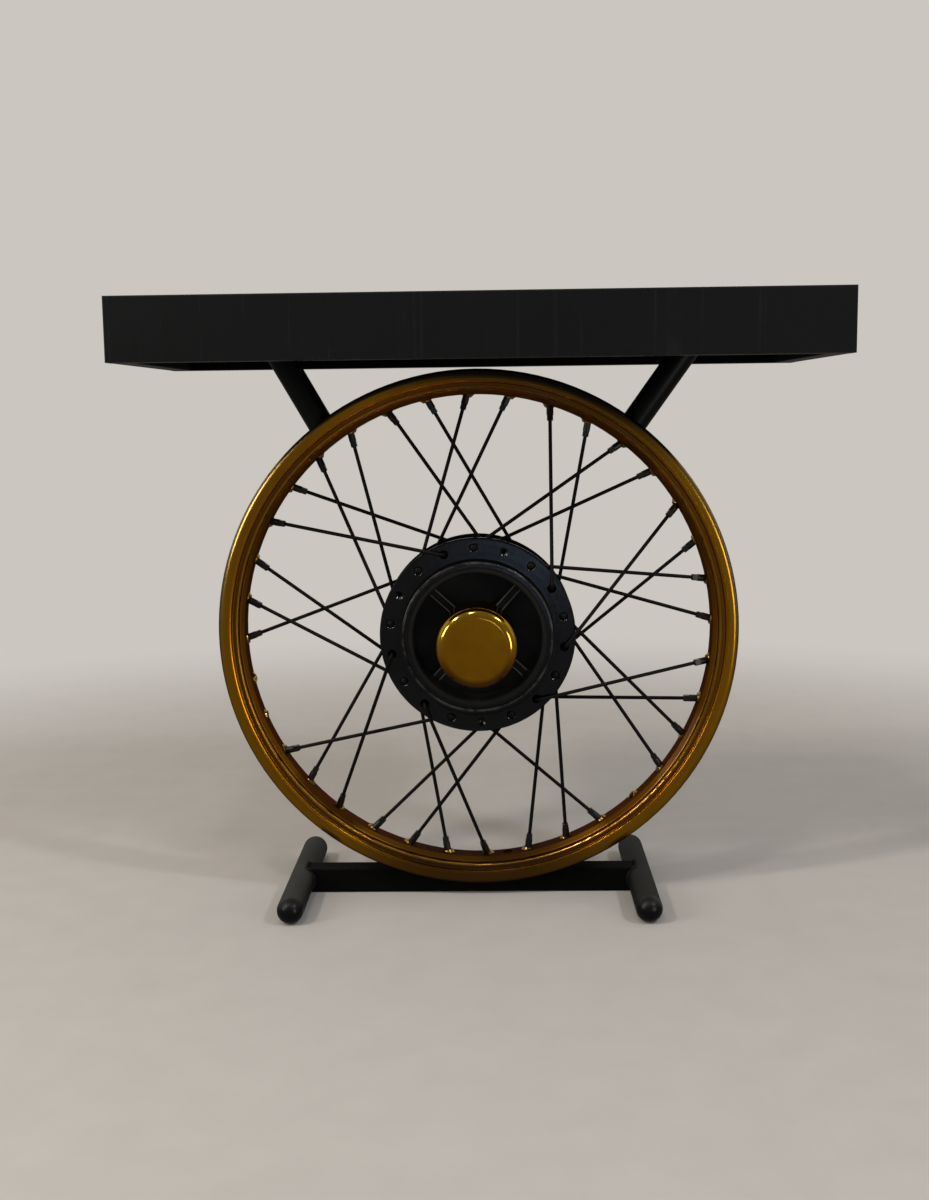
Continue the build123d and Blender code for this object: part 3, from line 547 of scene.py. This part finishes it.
def polished_cap():
    """Turned and polished gold, with a painted highlight above and painted shade below."""
    tint = chart(190, 140, 60)
    skin = {"specular_tint": tint, "coat_weight": 0.4, "coat_roughness": 0.08}
    finish = Finish("gold_polished_cap", metallic=1.0, **skin)
    reach = finish.radius()
    rise = finish.z / reach
    across = finish.vector(reach / TURNING_LINE, finish.y / TURNING_LINE, 0.0)
    turning = finish.cloud(1.0, vector=across)
    haze = finish.cloud(14 * MM)
    painted_shade_below = reach.step(25 * MM, 30 * MM) * (rise * -1).step(0.0, 0.7)
    painted_highlight_above = reach.step(24 * MM, 31 * MM) * rise.step(-0.4, 0.3)
    colour = finish.mix(haze, chart(196, 130, 1), chart(222, 156, 2))
    # Painted highlight: the upper rounding is painted pale.
    colour = finish.mix(painted_highlight_above * 0.7, colour, chart(236, 192, 62))
    # Painted shade: the lower rounding is painted dark brown.
    finish.paint("Base Color", finish.mix(painted_shade_below * 0.8, colour, chart(92, 54, 4)))
    finish.paint("Roughness", 0.09 + haze * 0.05 + turning * 0.02)
    finish.bump(turning, 0.004 * MM)
    return finish.done()


def plated_steel(name, sealed=False):
    """Dull bright steel. A sealed one has a black ring of rubber in its face."""
    finish = Finish(name)
    haze = finish.cloud(4 * MM)
    steel = finish.mix(haze, chart(150, 150, 148), chart(196, 196, 192))
    if sealed:
        seal = finish.radius().step(SEAL_INNER, SEAL_INNER + SEAL_EDGE)
        seal = seal * (1 - finish.radius().step(SEAL_OUTER, SEAL_OUTER + SEAL_EDGE))
        steel = finish.mix(seal, steel, chart(20, 20, 20))
        finish.paint("Metallic", 1 - seal)
    else:
        finish.shader.inputs["Metallic"].default_value = 1.0
    finish.paint("Base Color", steel)
    finish.paint("Roughness", 0.28 + haze * 0.2)
    finish.bump(finish.cloud(0.8 * MM), 0.02 * MM)
    return finish.done()


wear(polished_cap(), "gold_cap")
PLATED = plated_steel("zinc_plated_steel")
wear(PLATED, "axle", "axle_nut_front", "axle_nut_back", "axle_collar_back", "bearing_spacer",
     "bearing_front_inner_ring", "bearing_back_inner_ring")
SEALED = plated_steel("sealed_bearing_steel", sealed=True)
wear(SEALED, "bearing_front_outer_ring", "bearing_back_outer_ring")

# %% [markdown]
# ## Wood screws
# Each strut's plate is held by four blackened screws with a cross recess. The recess is a small cut in
# a small head, so it is drawn in the material: the plate is folded twice about its middle, which lays
# its four screws on one spot, and there the cross is the nearer of two thin slots.

# %% screws
HEAD_RADIUS = 4 * MM
SLOT_HALF = 0.55 * MM
SLOT_REACH = 2.4 * MM


def cross_recess(side):
    """Blackened steel with a cross cut into each screw's head."""
    finish = Finish(f"black_screws_{side}", metallic=1.0)
    low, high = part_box(f"strut_screws_{side}")
    middle = (low + high) / 2 - AXLE
    along = (finish.x - middle.x).size() - ((high.x - low.x) / 2 - HEAD_RADIUS)
    across = (finish.y - middle.y).size() - ((high.y - low.y) / 2 - HEAD_RADIUS)
    reach = along.size().most(across.size())
    cross = 1 - along.size().least(across.size()).step(SLOT_HALF * 0.7, SLOT_HALF)
    cut = cross * (1 - reach.step(SLOT_REACH * 0.9, SLOT_REACH))
    rust = finish.cloud(2 * MM).step(0.55, 0.8)
    # Painted shade: the cross is painted near black, as shade in the cut.
    colour = finish.mix(cut, chart(58, 57, 55), chart(6, 6, 6))
    finish.paint("Base Color", finish.mix(rust * 0.5, colour, chart(70, 44, 28)))
    finish.paint("Roughness", 0.38 + rust * 0.3)
    finish.bump(1 - cut, 0.8 * MM)
    return finish.done()


for side in ("left", "right"):
    wear(cross_recess(side), f"strut_screws_{side}")

# %% [markdown]
# ## Pieces that grow along a line
# A weld bead and a screw thread both follow a line and repeat a small step along it, so Geometry Nodes
# suit them. A Recipe is a Geometry Nodes tree with named inputs. It ends by making the result real,
# smooth and finished, and grow() runs it on a mesh and keeps the outcome as a plain mesh.

# %% recipes
class Recipe(Wiring):
    """A Geometry Nodes tree with named inputs."""

    def __init__(self, name, **inputs):
        super().__init__(bpy.data.node_groups.new(name, "GeometryNodeTree"))
        sockets = self.tree.interface
        for label, kind in inputs.items():
            sockets.new_socket(label, in_out="INPUT", socket_type="NodeSocket" + kind)
        sockets.new_socket("Geometry", in_out="OUTPUT", socket_type="NodeSocketGeometry")
        self.entry = self.tree.nodes.new("NodeGroupInput")

    def given(self, label):
        return Signal(self, self.entry.outputs[label])

    def sweep(self, line, sides, size):
        """A bar along a line, closed at both ends. Three sides give a sharp ridge, ten a round one."""
        section = self.node("GeometryNodeCurvePrimitiveCircle", sockets={"Resolution": sides, "Radius": 1.0})
        sockets = {"Curve": line, "Profile Curve": section, "Scale": size, "Fill Caps": True}
        return self.node("GeometryNodeCurveToMesh", sockets=sockets)

    def serve(self, shape):
        smooth = self.node("GeometryNodeSetShadeSmooth", sockets={"Geometry": shape})
        real = self.node("GeometryNodeRealizeInstances", sockets={"Geometry": smooth})
        finished = {"Geometry": real, "Material": self.given("Finish")}
        done = self.node("GeometryNodeSetMaterial", sockets=finished)
        self.feed(self.tree.nodes.new("NodeGroupOutput").inputs[0], done)


def grow(recipe, name, start, body, slot, **values):
    """Runs a recipe on a mesh. The result is a plain piece that rides on a body."""
    seed = bpy.data.objects.new(name + "_start", start)
    bpy.context.collection.objects.link(seed)
    modifier = seed.modifiers.new("recipe", "NODES")
    modifier.node_group = recipe.tree
    for socket in recipe.tree.interface.items_tree:
        if socket.name in values:
            modifier[socket.identifier] = values[socket.name]
    graph = bpy.context.evaluated_depsgraph_get()
    mesh = bpy.data.meshes.new_from_object(seed.evaluated_get(graph))
    bpy.data.objects.remove(seed)
    piece = bpy.data.objects.new(name, mesh)
    bpy.context.collection.objects.link(piece)
    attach(piece, body)
    print(name, len(mesh.polygons), "faces")
    return piece


print("recipes ready")

# %% [markdown]
# ## Weld beads
# The bar is welded to the foot tubes and to the rim, and each strut to the rim and to its plate. A weld
# bead is a row of frozen ripples. A plain round wire along the joint would be quicker to make, but the
# ripples are what catches the light. The recipe walks along the joint in small steps, swells and shrinks
# a round section once for each ripple, and tapers it at both ends. The joints themselves are worked out
# as the lines where a tube meets a flat side, a round seat or a plate.

# %% weld recipe
BEAD = 1.8 * MM
RIPPLE = 1.5 * MM
STEPS_IN_A_RIPPLE = 5
RIPPLE_FALL = 0.28
LUMP_SIZE = 4 * MM
BEAD_SIDES = 10


def weld_recipe():
    """A round section that follows a line, swells with each ripple and thins out at both ends."""
    inputs = {"Geometry": "Geometry", "Bead": "Float", "Ripple": "Float", "Finish": "Material"}
    recipe = Recipe("weld_bead", **inputs)
    bead, ripple = recipe.given("Bead"), recipe.given("Ripple")
    joint = recipe.node("GeometryNodeMeshToCurve", sockets={"Mesh": recipe.given("Geometry")})
    steps = {"Curve": joint, "Length": ripple / STEPS_IN_A_RIPPLE}
    line = recipe.node("GeometryNodeResampleCurve", {"mode": "LENGTH"}, steps)
    done = recipe.node("GeometryNodeSplineParameter", out="Length")
    whole = recipe.node("GeometryNodeSplineLength", out="Length")
    taper = ((done.least(whole - done) / bead).least(1.0) + 0.02) ** 0.5
    swell = 1 - (done / ripple).fraction() * RIPPLE_FALL
    lumps = {"Vector": recipe.node("GeometryNodeInputPosition"), "Scale": 1 / LUMP_SIZE}
    unsteady = recipe.node("ShaderNodeTexNoise", sockets=lumps, out="Fac")
    recipe.serve(recipe.sweep(line, BEAD_SIDES, bead * taper * swell * (0.75 + unsteady * 0.5)))
    return recipe


def lines_mesh(name, lines):
    """A mesh of open lines, for a recipe to follow."""
    points, links = [], []
    for line in lines:
        links += [(len(points) + step, len(points) + step + 1) for step in range(len(line) - 1)]
        points += line
    mesh = bpy.data.meshes.new(name)
    mesh.from_pydata(points, links, [])
    return mesh


WELD = weld_recipe()
print("weld recipe ready")

# %% bar to foot tubes
BAR_LOW, BAR_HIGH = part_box("base_bar")
CURVE_STEPS = 12
BAR_EDGE = 1.0 * MM


def bar_joint(side):
    """Up the front of the bar, over its top and down its back, against a foot tube."""
    low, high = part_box(f"foot_tube_{side}")
    middle, radius = (low + high) / 2, (high.z - low.z) / 2
    toward_bar = 1 if side == "left" else -1

    def on_tube(y, z):
        return middle.x + toward_bar * math.sqrt(radius ** 2 - (z - radius) ** 2), y, z

    bottom, top = BAR_LOW.z + 2 * BEAD, BAR_HIGH.z - BAR_EDGE
    heights = [bottom + (top - bottom) * step / CURVE_STEPS for step in range(CURVE_STEPS + 1)]
    front = [on_tube(BAR_LOW.y, z) for z in heights]
    back = [on_tube(BAR_HIGH.y, z) for z in reversed(heights)]
    over = [on_tube(y, BAR_HIGH.z - BAR_EDGE / 3) for y in (BAR_LOW.y + BAR_EDGE, BAR_HIGH.y - BAR_EDGE)]
    return front + over + back


for side in ("left", "right"):
    joint = lines_mesh("bar_joint", [bar_joint(side)])
    grow(WELD, f"weld_bar_{side}", joint, "stand", "painted_steel",
         Bead=BEAD, Ripple=RIPPLE, Finish=STRUT_PAINT)

# %% rim to bar, struts to rim and plates
SEAT_RADIUS = AXLE.z - BAR_HIGH.z
STRUT_ANGLES = {"left": math.radians(126.6), "right": math.radians(52.6)}
TUBE_RADIUS = 11.5 * MM
CHANNEL_HALF = 8 * MM
RIM_WELD_REACH = 18 * MM


def rim_joint(y):
    """A short line along the bar's edge, under the wheel's lowest point."""
    shares = [step / CURVE_STEPS for step in range(-CURVE_STEPS, CURVE_STEPS + 1)]
    return [(AXLE.x + RIM_WELD_REACH * share, y, BAR_HIGH.z) for share in shares]


def strut_joints(side):
    """The strut's two arcs on the rim's seats and its ring under the plate."""
    plate_low, plate_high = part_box(f"strut_plate_{side}")
    turn = STRUT_ANGLES[side]
    centre = Vector((AXLE.x, 0, AXLE.z))
    foot = Vector((math.cos(turn), 0, math.sin(turn))) * RIM_RADIUS
    top = Vector(((plate_low.x + plate_high.x) / 2, 0, plate_low.z)) - centre
    way = (top - foot).normalized()
    aside = Vector((way.z, 0, -way.x))
    depth = Vector((0, TUBE_RADIUS, 0))

    def on_seat(angle):
        side_point = foot + aside * (TUBE_RADIUS * math.cos(angle))
        along = side_point.dot(way)
        down = math.sqrt(along ** 2 - side_point.length_squared + SEAT_RADIUS ** 2) - along
        return centre + side_point + way * down + depth * math.sin(angle)

    def under_plate(angle):
        side_point = foot + aside * (TUBE_RADIUS * math.cos(angle))
        return centre + side_point + way * ((top.z - side_point.z) / way.z) + depth * math.sin(angle)

    start = math.asin(CHANNEL_HALF / TUBE_RADIUS)
    sweep = math.pi - 2 * start
    arcs = [[on_seat(first + sweep * step / CURVE_STEPS) for step in range(CURVE_STEPS + 1)]
            for first in (start, start + math.pi)]
    turns = 4 * CURVE_STEPS
    return arcs + [[under_plate(2 * math.pi * step / turns) for step in range(turns + 1)]]


joints = [rim_joint(BAR_LOW.y), rim_joint(BAR_HIGH.y)] + strut_joints("left") + strut_joints("right")
grow(WELD, "weld_beads", lines_mesh("joints", joints), "stand", "painted_steel",
     Bead=BEAD, Ripple=RIPPLE, Finish=STRUT_PAINT)

# %% [markdown]
# ## The axle's thread
# Behind the back nut the axle's end shows its last few turns of thread. A thread is a ridge on a
# helix, so the recipe sweeps a three-sided section along a spiral whose pitch and length are given. A
# bump in the material would be simpler, but the thread stands against the pale backdrop from behind, and
# there its outline shows. The spiral stands upright when it is made, so the finished mesh is tipped to
# the back and moved to the axle.

# %% axle thread
THREAD_PITCH = 1.25 * MM
THREAD_RIDGE = 0.42 * MM
POINTS_IN_A_TURN = 40
NUT_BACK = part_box("axle_nut_back")[1].y
AXLE_LOW, AXLE_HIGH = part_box("axle")


def thread_recipe():
    """A three-sided ridge wound on a cylinder."""
    inputs = {"Pitch": "Float", "Radius": "Float", "Length": "Float", "Finish": "Material"}
    recipe = Recipe("axle_thread", **inputs)
    radius, length = recipe.given("Radius"), recipe.given("Length")
    spiral = {"Resolution": POINTS_IN_A_TURN, "Rotations": length / recipe.given("Pitch"), "Height": length,
              "Start Radius": radius, "End Radius": radius}
    line = recipe.node("GeometryNodeCurveSpiral", sockets=spiral)
    recipe.serve(recipe.sweep(line, 3, THREAD_RIDGE))
    return recipe


free_end = AXLE_HIGH.y - NUT_BACK - 2 * THREAD_PITCH
thread = grow(thread_recipe(), "axle_thread", bpy.data.meshes.new("empty"), "axle_assembly", "bright_steel",
              Pitch=THREAD_PITCH, Radius=(AXLE_HIGH.x - AXLE_LOW.x) / 2 - THREAD_RIDGE / 2, Length=free_end,
              Finish=PLATED)
to_the_back = Matrix.Rotation(-math.pi / 2, 4, "X")
thread.data.transform(Matrix.Translation((AXLE.x, NUT_BACK + THREAD_RIDGE, AXLE.z)) @ to_the_back)

# %% [markdown]
# ## Floor, backdrop and light
# A pale floor fades into a pale backdrop, so that the same set works from every side. The floor is clear
# to mirror rays, because a pale floor in the lower half of a gold rim would look like a second lamp.
# The world shows metal the pale backdrop behind and above the table, and a dim room in front of it and
# below, which is what keeps black paint black.
#
# Shiny metal is lit by what it mirrors. Two low soft boxes, front left and front right, draw the long
# lights on the rim's outer edge and on the cap's sides. Three small lamps high in front, one warm, one
# cool and one between them, give the short lights on the cap and the hub. A small bluish window low in
# front lends the hub's face a cold sheen. The sky fills in the rest.

# %% stage
BACKDROP = chart(203, 198, 192)
FLOOR_PALE, FLOOR_DUSTY = chart(206, 201, 195), chart(196, 191, 185)
FLOOR_FADE_START, FLOOR_FADE_END = 0.55, 1.5
FLOOR_RADIUS = 2.0
FLOOR_SIDES = 96

floor_mesh = bpy.data.meshes.new("floor")
around = [index * 2 * math.pi / FLOOR_SIDES for index in range(FLOOR_SIDES)]
corners = [(FLOOR_RADIUS * math.cos(turn), FLOOR_RADIUS * math.sin(turn), 0) for turn in around]
floor_mesh.from_pydata(corners, [], [list(range(FLOOR_SIDES))])
floor = bpy.data.objects.new("floor", floor_mesh)
bpy.context.collection.objects.link(floor)

ground = Finish("pale_floor", roughness=0.85, specular_ior_level=0.1)
grain = ground.cloud(40 * MM)
ground.paint("Base Color", ground.mix(grain, FLOOR_DUSTY, FLOOR_PALE))
distance = (ground.x * ground.x + ground.y * ground.y) ** 0.5
clear = ground.node("ShaderNodeBsdfTransparent")
mirror_ray = ground.node("ShaderNodeLightPath", out="Is Glossy Ray")
fade = distance.step(FLOOR_FADE_START, FLOOR_FADE_END).most(mirror_ray)
solid = Signal(ground, ground.shader.outputs[0])
blend = ground.node("ShaderNodeMixShader", sockets={0: fade, 1: solid, 2: clear})
ground.feed(ground.tree.nodes["Material Output"].inputs["Surface"], blend)
floor.data.materials.append(ground.done())
print("floor:", FLOOR_RADIUS, "m in radius, clear beyond", FLOOR_FADE_END, "m")

# %% world
SKY_FILL = 0.7
DIM_ROOM = 0.23
BACK_WALL_START, BACK_WALL_END = -0.2, 0.5
SKYLINE_START, SKYLINE_END = -0.15, 0.35

world = bpy.data.worlds.new("studio")
bpy.context.scene.world = world
world.use_nodes = True
sky = Wiring(world.node_tree)
seen, glossy, through = (sky.node("ShaderNodeLightPath", out=f"Is {kind} Ray")
                         for kind in ("Camera", "Glossy", "Transmission"))
direction = sky.node("ShaderNodeTexCoord", out="Generated")
to_back = sky.node("ShaderNodeSeparateXYZ", sockets={0: direction}, out=1)
behind = to_back.step(BACK_WALL_START, BACK_WALL_END)
upward = sky.node("ShaderNodeSeparateXYZ", sockets={0: direction}, out=2)
above = upward.step(SKYLINE_START, SKYLINE_END)
mirrored = DIM_ROOM + behind * above * (1 - DIM_ROOM)
shown = seen.most(through)
lit = glossy * mirrored + (1 - glossy) * SKY_FILL
background = world.node_tree.nodes["Background"]
sky.feed(background.inputs["Color"], BACKDROP)
sky.feed(background.inputs["Strength"], shown + (1 - shown) * lit)
print("sky fill", SKY_FILL)

# %% lamps
TARGET = Vector((0, 0, 0.3))
WARM, NEUTRAL, COOL, BLUISH = (1.0, 0.93, 0.84), (1.0, 0.99, 0.97), (0.82, 0.9, 1.0), (0.45, 0.65, 1.0)


def lamp(name, place, width, height, power, colour, shape="RECTANGLE"):
    """An area light at a place measured from the target, which it faces."""
    light = bpy.data.lights.new(name, "AREA")
    light.shape = shape
    light.size = width
    light.size_y = height
    light.energy = power
    light.color = colour
    body = bpy.data.objects.new(name, light)
    bpy.context.collection.objects.link(body)
    body.location = TARGET + Vector(place)
    body.rotation_euler = (-Vector(place)).to_track_quat("-Z", "Y").to_euler()
    print(name, power, "W")


lamp("softbox_left", (-1.35, -0.8, 0.45), width=0.35, height=0.5, power=5, colour=NEUTRAL)
lamp("softbox_right", (1.05, -1.2, -0.03), width=0.3, height=0.5, power=2.5, colour=NEUTRAL)
lamp("lamp_left", (-1.27, -0.94, 1.38), width=0.2, height=0.2, power=10, colour=WARM, shape="DISK")
lamp("lamp_right", (1.25, -0.97, 1.38), width=0.2, height=0.2, power=9, colour=COOL, shape="DISK")
lamp("lamp_above", (-0.33, -1.0, 1.8), width=0.17, height=0.17, power=4, colour=NEUTRAL, shape="DISK")
lamp("low_window", (0.1, -1.9, -0.16), width=0.16, height=0.1, power=0.25, colour=BLUISH)

# %% view settings and sizes
bpy.context.scene.view_settings.view_transform = "Standard"
